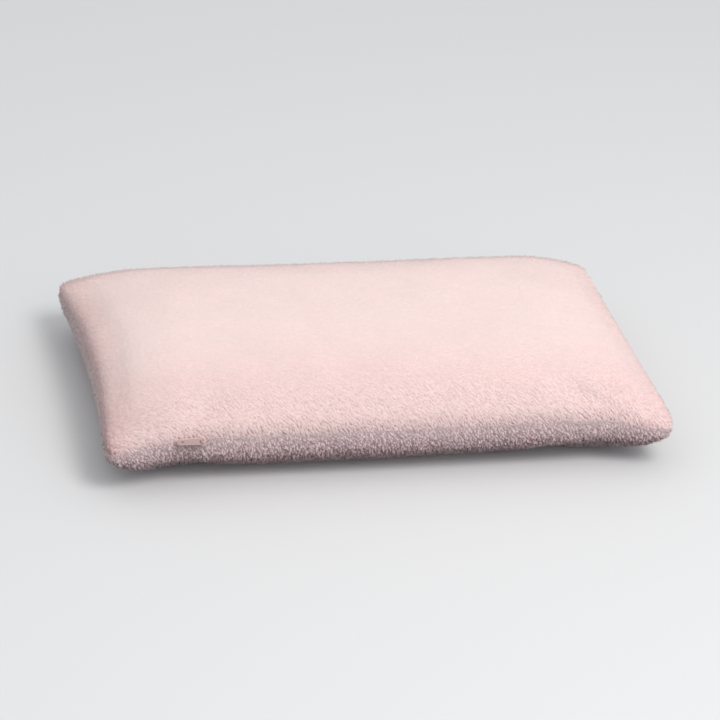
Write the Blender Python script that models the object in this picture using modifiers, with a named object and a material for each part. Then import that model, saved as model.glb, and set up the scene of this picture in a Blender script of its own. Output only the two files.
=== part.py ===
"""Rectangular lumbar and nursing pillow: a zipped plush cover over a lined, fibre-filled insert.

Frame, in metres: the pillow lies on its back panel. +X runs along its length, +Y from the zip edge
to the far edge, +Z up through its thickness. The origin is under the middle of the pillow, on the
surface it rests on. A side is +1 for the front (upper) half and -1 for the back (lower) half.
"""

import math
from typing import NamedTuple

import bmesh
import bpy
import numpy as np

# ---------------------------------------------------------------- form of the pillow
LENGTH = 0.508            # 20 in, corner to corner along X
WIDTH = 0.305             # 12 in, corner to corner along Y
SEAM_Z = 0.048            # height of the perimeter seam above the floor
FRONT_RISE = 0.0415       # crown of the front panel above the seam
BACK_DROP = 0.0530        # fall of the back panel below the seam before the floor flattens it
FLOOR_BLEND = 0.006       # softens the turn from the back panel's side to its flat
CORNER_CUT = 0.0045       # how far a rounded corner sits inside the square one
END_CORNER_POWER = 18     # sharpness of that corner along the ends
EDGE_CORNER_POWER = 26    # and along the long edges
CORNER_DROOP = 0.0070     # the loosely filled corners hang this much lower than the seam
END_PULL = 0.0095         # stuffing pulls the ends in between the corners
EDGE_PULL = 0.0135        # and the far long edge more
ZIP_EDGE_PULL = 0.0125    # the zipped edge is pulled in too, but the zip keeps it straight
STRAIGHT_X = 0.180        # half length of that straight stretch
FRONT_FULL = 0.38         # how steeply each panel leaves the seam, less being fuller
BACK_FULL = 0.31

# ---------------------------------------------------------------- cloth and seams
COVER_T = 0.0030          # plush: knitted backing and short pile
COVER_RIM = 0.0038        # the same, measured level at the rim
ALLOWANCE_T = 0.0010      # seam allowance, pile crushed
ALLOWANCE = 0.0100
LIP_ALLOWANCE = 0.0008    # allowance past the rim thickness beside the zip
LINER_T = 0.0008
LINER_RIM = 0.0011
LINER_ALLOWANCE_T = 0.0006
LINER_ALLOWANCE = 0.0070
SEAM_GAP = 0.00055        # half the gap between two seam allowances, where the thread runs
LIP_GAP = 0.0010          # half the slot between the lips of the zipped edge
INSERT_INSET = 0.0125     # insert's seam inside the cover's, on three sides
INSERT_INSET_ZIP = 0.024  # and behind the zip
INSERT_DEPTH = COVER_T + 0.0015
FILL_INSET = LINER_ALLOWANCE + 0.003     # fill's rim inside the liner's seam
FILL_DEPTH = LINER_T + 0.0012            # fill's face inside the liner's outer face
THREAD_RADIUS = 0.00022
COVER_THREAD_INSET = 0.0064              # cover's thread inside its seam line
COVER_THREAD_START_X = 0.208
LINER_THREAD_INSET = 0.0052
CLOSING_INSET = 0.0046                   # closing stitch inside the liner's seam line
CLOSING_X = 0.070                        # half length of the closing stitch

# ---------------------------------------------------------------- mesh density
COVER_CELLS = (26, 18)    # grid segments along X and Y
INSERT_CELLS = (18, 12)
GRID_CROWDING = 1.9       # over 1 moves grid lines towards the edges
MERGE_DISTANCE = 1e-6
SHARP_ANGLE = math.radians(35)

# ---------------------------------------------------------------- zip
ZIP_X = 0.1740            # half length of the chain: a 14 in zip
TAPE_X = 0.1820
TAPE_T = 0.0005
COIL_NEAR, COIL_FAR = 0.0007, 0.0031     # from the seam plane
COIL_HALF_Y = 0.00105
STOP_HALF_Y = 0.0013
PLATE_HALF = 0.0045       # half width of the slider
PLATE_NEAR, PLATE_FAR = 0.0015, 0.0026   # faces of a slider plate, from the chain
SLIDER_HALF_X = 0.0055
SLIDER_X = -0.1680        # closed end
JOINT_OVERLAP = 0.0004    # how far joined slider parts run into each other
PIVOT_OUT = 0.0020        # pull tab's pivot outside the seam line
TAB_LENGTH = 0.0225

HALF_LENGTH, HALF_WIDTH = LENGTH / 2, WIDTH / 2
SEAM_Y = -HALF_WIDTH + ZIP_EDGE_PULL
CHAIN_Y = SEAM_Y + 0.0086
PIVOT_Y = SEAM_Y - PIVOT_OUT

# ---------------------------------------------------------------- care label
LABEL_X = (0.086, 0.136)
LABEL_Y = (-0.078, -0.048)
LABEL_Z = (COVER_T + 0.00035, COVER_T + 0.00085)


# ---------------------------------------------------------------- scene and materials
for old_object in list(bpy.data.objects):
    bpy.data.objects.remove(old_object, do_unlink=True)
parts = bpy.data.collections.new("lumbar_pillow")
cutters = bpy.data.collections.new("cutters")
for collection in (parts, cutters):
    bpy.context.scene.collection.children.link(collection)


def material(name, colour, roughness, metallic=0.0):
    made = bpy.data.materials.new(name)
    made.use_nodes = True
    shader = made.node_tree.nodes["Principled BSDF"]
    shader.inputs["Base Color"].default_value = (*colour, 1.0)
    shader.inputs["Roughness"].default_value = roughness
    shader.inputs["Metallic"].default_value = metallic
    return made


PLUSH = material("pink_plush", colour=(0.86, 0.66, 0.63), roughness=0.95)
PLUSH_BACK = material("pink_plush_back", colour=(0.84, 0.64, 0.61), roughness=0.95)
THREAD = material("pink_thread", colour=(0.78, 0.55, 0.53), roughness=0.7)
TAPE = material("zip_tape", colour=(0.80, 0.60, 0.58), roughness=0.85)
COIL = material("nylon_coil", colour=(0.82, 0.62, 0.60), roughness=0.45)
STOP = material("stop_metal", colour=(0.72, 0.72, 0.73), roughness=0.35, metallic=1.0)
PAINTED = material("painted_zinc", colour=(0.83, 0.62, 0.60), roughness=0.35)
LINER = material("liner_cloth", colour=(0.86, 0.86, 0.84), roughness=0.9)
WHITE_THREAD = material("white_thread", colour=(0.88, 0.88, 0.86), roughness=0.7)
FIBRE = material("polyester_fibre", colour=(0.93, 0.93, 0.92), roughness=1.0)
SATIN = material("label_satin", colour=(0.90, 0.90, 0.89), roughness=0.5)


# ---------------------------------------------------------------- making objects
def place(obj, name, finish=None):
    """Names and files an object. One without a finish is a hidden helper for booleans."""
    for old in list(obj.users_collection):
        old.objects.unlink(obj)
    obj.name = name
    obj.data.name = name
    if finish is None:
        cutters.objects.link(obj)
        obj.hide_render = True
        obj.display_type = "WIRE"
    else:
        parts.objects.link(obj)
        obj.data.materials.clear()
        obj.data.materials.append(finish)
    return obj


def from_bmesh(body, name, finish):
    """Turns a bmesh into a smooth-shaded object, facing outwards where it is closed."""
    bmesh.ops.recalc_face_normals(body, faces=body.faces)
    is_closed = not any(edge.is_boundary for edge in body.edges)
    if is_closed and body.calc_volume(signed=True) < 0:
        bmesh.ops.reverse_faces(body, faces=body.faces)
    mesh = bpy.data.meshes.new(name)
    body.to_mesh(mesh)
    body.free()
    obj = place(bpy.data.objects.new(name, mesh), name, finish)
    mesh.shade_smooth()
    mesh.set_sharp_from_angle(angle=SHARP_ANGLE)
    return obj


def around(centre, half):
    return centre - half, centre + half


def offset_span(centre, side, near, far):
    """Low and high ends of the stretch from near to far, measured from centre towards side."""
    return tuple(sorted((centre + side * near, centre + side * far)))


def box(name, x_span, y_span, z_span, finish=None, bevel=0.0):
    bpy.ops.mesh.primitive_cube_add(size=1.0)
    obj = place(bpy.context.object, name, finish)
    low, high = np.array((x_span, y_span, z_span), float).T
    size = high - low
    for vert in obj.data.vertices:
        vert.co = [c * s for c, s in zip(vert.co, size)]
    obj.location = (low + high) / 2
    if bevel:
        rounding = obj.modifiers.new("round", "BEVEL")
        rounding.width = bevel
        rounding.segments = 1
        rounding.limit_method = "NONE"
    return obj


def pivot_rod(name, radius, length, rise=0.0):
    """Upright helper cylinder on the pull tab's pivot, its middle at rise above the seam."""
    bpy.ops.mesh.primitive_cylinder_add(vertices=24, radius=radius, depth=length,
                                        location=(SLIDER_X, PIVOT_Y, SEAM_Z + rise))
    return place(bpy.context.object, name)


def add_polyline(curve, points):
    line = curve.splines.new("POLY")
    line.points.add(len(points) - 1)
    for point, co in zip(line.points, points):
        point.co = (*co, 1.0)
    return line


def thread(name, points, finish):
    curve = bpy.data.curves.new(name, "CURVE")
    curve.dimensions = "3D"
    curve.bevel_depth = THREAD_RADIUS
    curve.bevel_resolution = 0
    curve.use_fill_caps = True
    add_polyline(curve, points)
    place(bpy.data.objects.new(name, curve), name, finish)


def boolean(target, operation, others):
    for other in others:
        step = target.modifiers.new(operation.lower(), "BOOLEAN")
        step.operation = operation
        step.object = other
        step.solver = "EXACT"


# ---------------------------------------------------------------- the pillow's form
# A place on the form is (along, across): each runs from -1 to 1, along X and across in Y.
class Surface(NamedTuple):
    """One of the nested surfaces of the form."""
    inset: float = 0.0         # rim inside the cover's seam, on three sides
    inset_zip: float = 0.0     # and on the zip edge
    depth: float = 0.0         # how far the surface lies inside the cover's outer face
    rim_lift: float = 0.0      # rim's distance off the seam gap
    gap: float | None = None   # half the gap at the seam, None where it follows the zip's lips

    def half_gap(self, x, across):
        return lip_gap(x, across) if self.gap is None else self.gap


def ease(t):
    t = min(max(t, 0.0), 1.0)
    return t * t * (3 - 2 * t)


def end_blend(x):
    """0 over the straight stretch, easing to 1 at the pillow's ends."""
    return ease((abs(x) - STRAIGHT_X) / (HALF_LENGTH - STRAIGHT_X))


def on_zip_edge(across):
    return across < -0.98


def spread(t):
    """Even steps from -1 to 1 moved towards the edges, where the form turns most."""
    return math.copysign(1 - (1 - min(abs(t), 1.0)) ** GRID_CROWDING, t)


def plan(along, across, inset, inset_zip):
    """X and Y on the outline moved inwards by inset, or by inset_zip at the zip edge."""
    half_y = HALF_WIDTH - (inset + inset_zip) / 2
    middle_y = (inset_zip - inset) / 2
    end_cut = CORNER_CUT * abs(across) ** END_CORNER_POWER + END_PULL * (1 - across * across)
    x = (HALF_LENGTH - inset) * along - math.copysign(abs(along) ** 3, along) * end_cut
    if across < 0:
        pull = ZIP_EDGE_PULL * (1 - end_blend(x))
    else:
        pull = EDGE_PULL * (1 - along * along)
    edge_cut = CORNER_CUT * abs(along) ** EDGE_CORNER_POWER + pull
    y = middle_y + half_y * across - math.copysign(abs(across) ** 3, across) * edge_cut
    return x, y


def seam_height(x, across):
    return SEAM_Z - CORNER_DROOP * end_blend(x) * across * across


def dome(along, across, power):
    return ((1 - min(abs(along), 1.0) ** 4) * (1 - min(abs(across), 1.0) ** 2)) ** power


def lip_gap(x, across):
    """Half the gap at the seam: wider along the zip, where the slider's neck passes."""
    if not on_zip_edge(across):
        return SEAM_GAP
    return SEAM_GAP + (LIP_GAP - SEAM_GAP) * (1 - ease((abs(x) - STRAIGHT_X) / 0.012))


def surface_point(surface, side, along, across):
    x, y = plan(along, across, surface.inset, surface.inset_zip)
    rim = seam_height(x, across) - side * 0.0
    rim += side * (surface.half_gap(x, across) + surface.rim_lift)
    if side > 0:
        rise = FRONT_RISE - surface.depth - surface.rim_lift
        return x, y, rim + rise * dome(along, across, FRONT_FULL)
    floor = surface.depth
    height = rim - (BACK_DROP - surface.depth) * dome(along, across, BACK_FULL) - floor
    if height <= 0:
        return x, y, floor
    blend = FLOOR_BLEND * (1 - height / (rim - floor))
    return x, y, floor + height * height / (height + blend)


def add_grid(body, cells, point_at):
    """A grid moved onto the form. Returns its vertices with their (along, across)."""
    grid = bmesh.ops.create_grid(body, x_segments=cells[0], y_segments=cells[1], size=1.0)
    where = {}
    for vert in grid["verts"]:
        where[vert] = (spread(vert.co.x), spread(vert.co.y))
        vert.co = point_at(*where[vert])
    return where


def add_ring(body, where, point_at):
    """Extrudes the open boundary of the last loop and moves the new loop onto point_at."""
    def key(vert):
        return tuple(round(c, 7) for c in vert.co)

    edges = [e for e in body.edges if e.is_boundary and all(v in where for v in e.verts)]
    spots = {key(vert): where[vert] for edge in edges for vert in edge.verts}
    made = bmesh.ops.extrude_edge_only(body, edges=edges)["geom"]
    ring = {vert: spots[key(vert)] for vert in made if isinstance(vert, bmesh.types.BMVert)}
    for vert, spot in ring.items():
        vert.co = point_at(*spot)
    return ring


# ---------------------------------------------------------------- cover, liner and fill
def panel(name, side, finish, cells, outer, inner, allowance):
    """One sewn panel as a closed body: outer face, turned-in seam allowance and inner face."""
    rim = inner.inset - outer.inset

    def allowance_edge(along, across, lift):
        """Inner edge of the flat allowance, lift off the seam gap. It is narrow by the zip."""
        step = allowance
        if outer.gap is None and on_zip_edge(across):
            x, _ = plan(along, across, outer.inset, outer.inset_zip)
            widening = (allowance - rim) * ease((abs(x) - STRAIGHT_X - 0.002) / 0.022)
            step = min(step, rim + LIP_ALLOWANCE + widening)
        x, y = plan(along, across, outer.inset + step, outer.inset_zip + step)
        return x, y, seam_height(x, across) + side * (outer.half_gap(x, across) + lift)

    def inner_at(along, across):
        return surface_point(inner, side, along, across)

    body = bmesh.new()
    ring = add_grid(body, cells, lambda *spot: surface_point(outer, side, *spot))
    for lift in (0.0, inner.rim_lift):
        ring = add_ring(body, ring, lambda *spot: allowance_edge(*spot, lift))
    add_ring(body, ring, inner_at)
    add_grid(body, cells, inner_at)
    bmesh.ops.remove_doubles(body, verts=body.verts, dist=MERGE_DISTANCE)
    from_bmesh(body, name, finish)


def build_cover():
    outer = Surface()
    inner = Surface(inset=COVER_RIM, inset_zip=COVER_RIM, depth=COVER_T, rim_lift=ALLOWANCE_T)
    for label, side, finish in (("front", 1, PLUSH), ("back", -1, PLUSH_BACK)):
        panel(f"cover_{label}_panel", side, finish, COVER_CELLS, outer, inner, ALLOWANCE)


def build_liner():
    outer = Surface(inset=INSERT_INSET, inset_zip=INSERT_INSET_ZIP,
                    depth=INSERT_DEPTH, gap=SEAM_GAP)
    inner = Surface(inset=INSERT_INSET + LINER_RIM, inset_zip=INSERT_INSET_ZIP + LINER_RIM,
                    depth=INSERT_DEPTH + LINER_T, rim_lift=LINER_ALLOWANCE_T, gap=SEAM_GAP)
    for label, side in (("front", 1), ("back", -1)):
        panel(f"liner_{label}_panel", side, LINER, INSERT_CELLS, outer, inner, LINER_ALLOWANCE)


def build_fill():
    """One body shaped by the liner, clear of the seam allowances."""
    face = Surface(inset=INSERT_INSET + FILL_INSET, inset_zip=INSERT_INSET_ZIP + FILL_INSET,
                   depth=INSERT_DEPTH + FILL_DEPTH, gap=0.0)
    body = bmesh.new()
    for side in (1, -1):
        add_grid(body, INSERT_CELLS, lambda *spot: surface_point(face, side, *spot))
    bmesh.ops.remove_doubles(body, verts=body.verts, dist=MERGE_DISTANCE)
    from_bmesh(body, "fibre_fill", FIBRE)


# ---------------------------------------------------------------- seam threads
def seam_path(cells, inset, inset_zip, start_x):
    """Points inside the perimeter seam, from -start_x on the zip edge round to +start_x."""
    columns, rows = ([spread(-1 + 2 * i / count) for i in range(count + 1)] for count in cells)
    spots = [(u, -1.0) for u in reversed(columns) if u * HALF_LENGTH < -start_x]
    spots += [(-1.0, v) for v in rows[1:]]
    spots += [(u, 1.0) for u in columns[1:]]
    spots += [(1.0, v) for v in reversed(rows[:-1])]
    spots += [(u, -1.0) for u in reversed(columns[:-1]) if u * HALF_LENGTH > start_x]
    points = []
    for along, across in spots:
        x, y = plan(along, across, inset, inset_zip)
        points.append((x, y, seam_height(x, across)))
    return points


def build_seam_threads():
    cover_path = seam_path(COVER_CELLS, COVER_THREAD_INSET, COVER_THREAD_INSET,
                           COVER_THREAD_START_X)
    thread("cover_seam_thread", cover_path, THREAD)
    liner_path = seam_path(INSERT_CELLS, INSERT_INSET + LINER_THREAD_INSET,
                           INSERT_INSET_ZIP + LINER_THREAD_INSET, CLOSING_X + 0.004)
    thread("liner_seam_thread", liner_path, WHITE_THREAD)
    _, y = plan(0.0, -1.0, INSERT_INSET + CLOSING_INSET, INSERT_INSET_ZIP + CLOSING_INSET)
    closing_path = [(x, y, SEAM_Z) for x in np.linspace(-CLOSING_X, CLOSING_X, 9)]
    thread("liner_closing_stitch", closing_path, WHITE_THREAD)


# ---------------------------------------------------------------- zip chain
# Tape section: distance from the chain towards -Y, distance from the seam plane in Z.
TAPE_SECTION = ((0.0, 0.0034), (0.0, 0.0054), (0.0010, 0.0072), (0.0018, 0.0100))
STITCH_OFF = 0.00062      # stitching's centre off the middle of the tape
STITCH_SHARE = 0.55       # its place along the last leg of the section


def build_tape(label, section):
    body = bmesh.new()
    stations = [[body.verts.new((x, y, z)) for y, z in section] for x in (-TAPE_X, 0.0, TAPE_X)]
    for left, right in zip(stations, stations[1:]):
        for i in range(len(section) - 1):
            body.faces.new((left[i], left[i + 1], right[i + 1], right[i]))
    tape = from_bmesh(body, f"zip_tape_{label}", TAPE)
    wall = tape.modifiers.new("thickness", "SOLIDIFY")
    wall.thickness = TAPE_T
    wall.offset = 0.0
    wall.use_even_offset = True


def build_tape_stitching(label, side, section):
    """The stitches that hold a tape to its panel, on the -Y face of the tape's last leg."""
    (y_start, z_start), (y_end, z_end) = section[2:]
    leg_y, leg_z = y_end - y_start, z_end - z_start
    leg = math.hypot(leg_y, leg_z)
    y = y_start + leg_y * STITCH_SHARE - side * leg_z / leg * STITCH_OFF
    z = z_start + leg_z * STITCH_SHARE + side * leg_y / leg * STITCH_OFF
    path = [(x, y, z) for x in np.linspace(-TAPE_X + 0.003, TAPE_X - 0.003, 5)]
    thread(f"zip_stitching_{label}", path, THREAD)


def build_chain():
    for label, side in (("front", 1), ("back", -1)):
        section = [(CHAIN_Y - out, SEAM_Z + side * rise) for out, rise in TAPE_SECTION]
        build_tape(label, section)
        coil_z = offset_span(SEAM_Z, side, COIL_NEAR, COIL_FAR)
        box(f"zip_coil_{label}", around(0.0, ZIP_X), around(CHAIN_Y, COIL_HALF_Y), coil_z,
            COIL, bevel=0.0005)
        box(f"zip_top_stop_{label}", (-ZIP_X - 0.0019, -ZIP_X - 0.0003),
            around(CHAIN_Y, STOP_HALF_Y), coil_z, STOP, bevel=0.0003)
        build_tape_stitching(label, side, section)
    box("zip_bottom_stop", (ZIP_X + 0.0004, ZIP_X + 0.0032), around(CHAIN_Y, STOP_HALF_Y),
        around(SEAM_Z, 0.0030), STOP, bevel=0.0004)


# ---------------------------------------------------------------- zip slider
def build_slider():
    """Two plates with flanges, joined by a bridge; a neck carries the pierced crown outside.

    The outer plate is the one on the -Y side, next to the lips.
    """
    plate_z = around(SEAM_Z, PLATE_HALF)
    flange_reach = PLATE_NEAR + JOINT_OVERLAP
    slider = box("zip_slider_body", around(SLIDER_X, SLIDER_HALF_X),
                 offset_span(CHAIN_Y, -1, PLATE_NEAR, PLATE_FAR), plate_z, PAINTED)
    helpers = [box("slider_inner_plate", around(SLIDER_X, SLIDER_HALF_X - 0.0004),
                   offset_span(CHAIN_Y, 1, PLATE_NEAR, PLATE_FAR), plate_z)]
    for i, side in enumerate((1, -1)):
        flange_z = offset_span(SEAM_Z, side, 0.0036, PLATE_HALF - 0.0001)
        for label, y_side, x_end in (("outer", -1, 0.0050), ("inner", 1, 0.0048)):
            helpers.append(box(f"slider_flange_{label}_{i}",
                               (SLIDER_X - 0.0045, SLIDER_X + x_end),
                               offset_span(CHAIN_Y, y_side, 0.0006, flange_reach), flange_z))
    helpers += [
        box("slider_bridge", (SLIDER_X - 0.0050, SLIDER_X - 0.0026),
            around(CHAIN_Y, flange_reach), around(SEAM_Z, 0.0004)),
        box("slider_neck", around(SLIDER_X, 0.0022),
            (PIVOT_Y, CHAIN_Y - PLATE_FAR + JOINT_OVERLAP), around(SEAM_Z, 0.0006)),
        pivot_rod("slider_crown", radius=0.00219, length=0.0012),
    ]
    boolean(slider, "UNION", helpers)
    hole = pivot_rod("slider_crown_hole", radius=0.0012, length=0.004)
    boolean(slider, "DIFFERENCE", [hole])
    return slider


# ---------------------------------------------------------------- pull tab
TAB_HALF_ROOT, TAB_HALF_TIP = 0.0034, 0.0027   # half widths
TAB_ROOT = -0.0008                             # root edge, from the pivot
TAB_HALF_T = 0.00055
TAB_HOLE_FROM_TIP, TAB_HOLE_RADIUS = 0.0048, 0.0013
TIP_STEPS, HOLE_STEPS = 14, 16


def arc(centre, radius, angles):
    return [(centre + radius * math.cos(a), radius * math.sin(a)) for a in angles]


def flat_piece(name, outlines, half_thickness):
    """A flat outline with its holes, extruded both ways, as a welded mesh."""
    curve = bpy.data.curves.new(name, "CURVE")
    curve.dimensions = "2D"
    curve.fill_mode = "BOTH"
    curve.extrude = half_thickness
    for outline in outlines:
        line = add_polyline(curve, [(x, y, 0.0) for x, y in outline])
        line.use_cyclic_u = True
    source = bpy.data.objects.new(name + "_outline", curve)
    cutters.objects.link(source)
    bpy.context.view_layer.update()
    evaluated = source.evaluated_get(bpy.context.evaluated_depsgraph_get())
    mesh = bpy.data.meshes.new_from_object(evaluated)
    bpy.data.objects.remove(source)
    body = bmesh.new()
    body.from_mesh(mesh)
    bmesh.ops.remove_doubles(body, verts=body.verts, dist=MERGE_DISTANCE)
    bmesh.ops.recalc_face_normals(body, faces=body.faces)
    body.to_mesh(mesh)
    body.free()
    return bpy.data.objects.new(name, mesh)


def build_tab():
    """A plate with a fork, and a cross pin through the slider's crown."""
    tip = [math.pi / 2 - math.pi * i / TIP_STEPS for i in range(TIP_STEPS + 1)]
    turn = [2 * math.pi * i / HOLE_STEPS for i in range(HOLE_STEPS)]
    outline = [(TAB_ROOT, -TAB_HALF_ROOT), (TAB_ROOT, TAB_HALF_ROOT)]
    outline += arc(TAB_LENGTH - TAB_HALF_TIP, TAB_HALF_TIP, tip)
    hole = arc(TAB_LENGTH - TAB_HOLE_FROM_TIP, TAB_HOLE_RADIUS, turn)
    tab = place(flat_piece("zip_pull_tab", [outline, hole], TAB_HALF_T), "zip_pull_tab", PAINTED)
    # turned so that the outline lies in X and Z, pointing to -X from the pivot
    tab.location = (SLIDER_X, PIVOT_Y, SEAM_Z)
    tab.rotation_euler = (math.radians(90), 0.0, math.radians(180))
    slot = box("tab_slot", (SLIDER_X - 0.0031, SLIDER_X + 0.002), around(PIVOT_Y, 0.002),
               around(SEAM_Z, 0.0011))
    boolean(tab, "DIFFERENCE", [slot])
    rods = [pivot_rod(f"tab_eye_{i}", radius=0.00112, length=0.00226, rise=side * 0.00225)
            for i, side in enumerate((1, -1))]
    rods.append(pivot_rod("tab_pin", radius=0.00085, length=0.0040))
    boolean(tab, "UNION", rods)
    return tab


# ---------------------------------------------------------------- moving joints
def empty(name, location):
    obj = bpy.data.objects.new(name, None)
    obj.location = location
    parts.objects.link(obj)
    return obj


def attach(child, parent):
    """Parents child without moving it."""
    bpy.context.view_layer.update()
    child.parent = parent
    child.matrix_parent_inverse = parent.matrix_world.inverted()


def build_slider_assembly():
    """The slider travels on one empty; the tab swings on another carried by the first."""
    slider = build_slider()
    tab = build_tab()
    slider_joint = empty("zip_slider_path", (SLIDER_X, CHAIN_Y, SEAM_Z))
    tab_joint = empty("pull_tab_pivot", (SLIDER_X, PIVOT_Y, SEAM_Z))
    attach(tab_joint, slider_joint)
    attach(slider, slider_joint)
    attach(tab, tab_joint)


build_cover()
build_liner()
build_fill()
build_seam_threads()
build_chain()
build_slider_assembly()
# the care label is blank and lies flat inside the back panel
box("care_label", LABEL_X, LABEL_Y, LABEL_Z, SATIN)
bpy.context.view_layer.update()
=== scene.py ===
"""Looks of the plush lumbar pillow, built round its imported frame."""
import math

import bpy
import numpy as np
from mathutils import Matrix, Vector


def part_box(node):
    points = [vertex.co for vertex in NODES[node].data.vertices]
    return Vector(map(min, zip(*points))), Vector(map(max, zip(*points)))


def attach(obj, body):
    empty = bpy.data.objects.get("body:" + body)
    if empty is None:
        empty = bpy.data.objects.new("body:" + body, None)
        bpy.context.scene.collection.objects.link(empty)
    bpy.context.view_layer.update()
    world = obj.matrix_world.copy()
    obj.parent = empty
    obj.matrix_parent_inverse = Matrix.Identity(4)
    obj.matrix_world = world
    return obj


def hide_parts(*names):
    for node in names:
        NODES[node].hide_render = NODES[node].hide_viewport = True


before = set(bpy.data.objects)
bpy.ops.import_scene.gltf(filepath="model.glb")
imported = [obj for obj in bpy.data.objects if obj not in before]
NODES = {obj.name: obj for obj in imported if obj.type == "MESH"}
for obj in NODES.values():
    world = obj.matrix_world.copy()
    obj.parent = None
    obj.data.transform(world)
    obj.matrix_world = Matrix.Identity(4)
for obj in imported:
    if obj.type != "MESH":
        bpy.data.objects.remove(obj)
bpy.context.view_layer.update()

# ---------------------------------------------------------------- sizes of the form, metres
_lo, _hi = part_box("cover_front_panel")
_blo, _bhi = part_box("cover_back_panel")
LENGTH, WIDTH = 0.508, 0.305
A, B = LENGTH / 2, WIDTH / 2
SEAM_Z = 0.048
FRONT_RISE = _hi.z - SEAM_Z - 0.0005
BACK_DROP = 0.053
CORNER_CUT, CORNER_DROOP = 0.0045, 0.0070
END_PULL, EDGE_PULL, ZIP_EDGE_PULL, STRAIGHT_X = 0.0095, 0.0135, 0.0125, 0.180
FRONT_FULL, BACK_FULL = 0.38, 0.31
SEAM_Y = -B + ZIP_EDGE_PULL
PILE = 0.0024                 # height of the lying pile over its backing
RNG = np.random.default_rng(417)


def smooth(t):
    t = np.clip(t, 0.0, 1.0)
    return t * t * (3 - 2 * t)


def plan(u, v, inset=0.0):
    a, b = A - inset, B - inset
    x = a * u - np.sign(u) * np.abs(u) ** 3 * (CORNER_CUT * np.abs(v) ** 18 + END_PULL * (1 - v * v))
    zip_pull = ZIP_EDGE_PULL * (1 - smooth((np.abs(x) - STRAIGHT_X) / (A - STRAIGHT_X)))
    pull = np.where(v < 0, zip_pull, EDGE_PULL * (1 - u * u))
    y = b * v - np.sign(v) * np.abs(v) ** 3 * (CORNER_CUT * np.abs(u) ** 26 + pull)
    return x, y


def seam_height(x, v):
    return SEAM_Z - CORNER_DROOP * smooth((np.abs(x) - STRAIGHT_X) / (A - STRAIGHT_X)) * v * v


def dome(u, v, power):
    return ((1 - np.abs(u) ** 4) * (1 - np.abs(v) ** 2)).clip(0, None) ** power


def skin(side, u, v, inset=0.0, gap=0.0):
    """The panel's backing, inset inside the pile's envelope."""
    x, y = plan(u, v, inset)
    seam = seam_height(x, v)
    if side > 0:
        z = seam + gap + (FRONT_RISE - inset) * dome(u, v, FRONT_FULL)
    else:
        floor = inset
        top = seam - gap
        fallen = top - (BACK_DROP - inset) * dome(u, v, BACK_FULL) - floor
        pos = np.clip(fallen, 0, None)
        blend = 0.006 * (1 - pos / (top - floor))
        z = np.where(fallen > 0, floor + pos * pos / (pos + blend + 1e-9), floor)
    return np.stack([x, y, z], -1)


def even_steps(curve, n):
    """n + 1 parameter values at equal steps along curve(t), t from -1 to 1."""
    t = np.sin(np.linspace(-np.pi / 2, np.pi / 2, 6001))
    p = curve(t)
    s = np.concatenate([[0], np.cumsum(np.linalg.norm(np.diff(p, axis=0), axis=1))])
    out = np.interp(np.linspace(0, s[-1], n + 1), s, t)
    out[0], out[-1] = -1.0, 1.0
    return out


def normals_of(grid, side):
    du = np.gradient(grid, axis=1)
    dv = np.gradient(grid, axis=0)
    n = np.cross(du, dv)
    n /= np.linalg.norm(n, axis=-1, keepdims=True) + 1e-12
    return n * side


# ---------------------------------------------------------------- noise helpers, all from hashed cells
def hash2(i, j, k=0):
    h = (i.astype(np.int64) * 374761393 + j.astype(np.int64) * 668265263 + int(k) * 2147483647) & 0xFFFFFFFF
    h = ((h ^ (h >> 13)) * 1274126177) & 0xFFFFFFFF
    h = ((h ^ (h >> 16)) * 2246822519) & 0xFFFFFFFF
    return ((h ^ (h >> 15)) & 0xFFFFFF) / float(0x1000000)


def value_noise(x, y, k=0):
    i, j = np.floor(x), np.floor(y)
    fx, fy = smooth(x - i), smooth(y - j)
    a, b = hash2(i, j, k), hash2(i + 1, j, k)
    c, d = hash2(i, j + 1, k), hash2(i + 1, j + 1, k)
    return (a + (b - a) * fx) * (1 - fy) + (c + (d - c) * fx) * fy


def layered(x, y, k=0, octaves=3):
    total, weight = 0.0, 0.0
    for o in range(octaves):
        total = total + value_noise(x * 2**o + 17.3 * o, y * 2**o - 9.1 * o, k + o) * 0.5**o
        weight += 0.5**o
    return total / weight * 2 - 1


NAP = {1: math.radians(-52), -1: math.radians(48)}
TUFT_SIZE = {1: (0.0033, 0.0018), -1: (0.0028, 0.0021)}     # along and across the nap


def tufts(s, t, side):
    """Nearest tuft of each surface point: its offset along and across the nap, its distance (0 at the middle), and two random numbers."""
    ca, sa = math.cos(NAP[side]), math.sin(NAP[side])
    long, wide = TUFT_SIZE[side]
    k = 100 + 50 * side
    p, q = (s * ca + t * sa) / long, (-s * sa + t * ca) / wide
    i0, j0 = np.floor(p), np.floor(q)
    best = np.full(p.shape, 9.0)
    dp, dq, r1, r2 = (np.zeros(p.shape) for _ in range(4))
    for di in (-1, 0, 1):
        for dj in (-1, 0, 1):
            i, j = i0 + di, j0 + dj
            cx = i + 0.5 + (hash2(i, j, k) - 0.5) * 0.85
            cy = j + 0.5 + (hash2(i, j, k + 1) - 0.5) * 0.85
            ex, ey = cx - p, cy - q
            d = ex * ex + ey * ey
            near = d < best
            best = np.where(near, d, best)
            dp, dq = np.where(near, ex * long, dp), np.where(near, ey * wide, dq)
            r1 = np.where(near, hash2(i, j, k + 2), r1)
            r2 = np.where(near, hash2(i, j, k + 3), r2)
    return dp, dq, np.sqrt(best), r1, r2


# ---------------------------------------------------------------- the filled form, by cloth simulation
COARSE_U, COARSE_V = 72, 44


def coarse_params(side):
    us = even_steps(lambda t: skin(side, t, np.zeros_like(t), PILE), COARSE_U)
    vs = even_steps(lambda t: skin(side, np.zeros_like(t), t, PILE), COARSE_V)
    return us, vs


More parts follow.
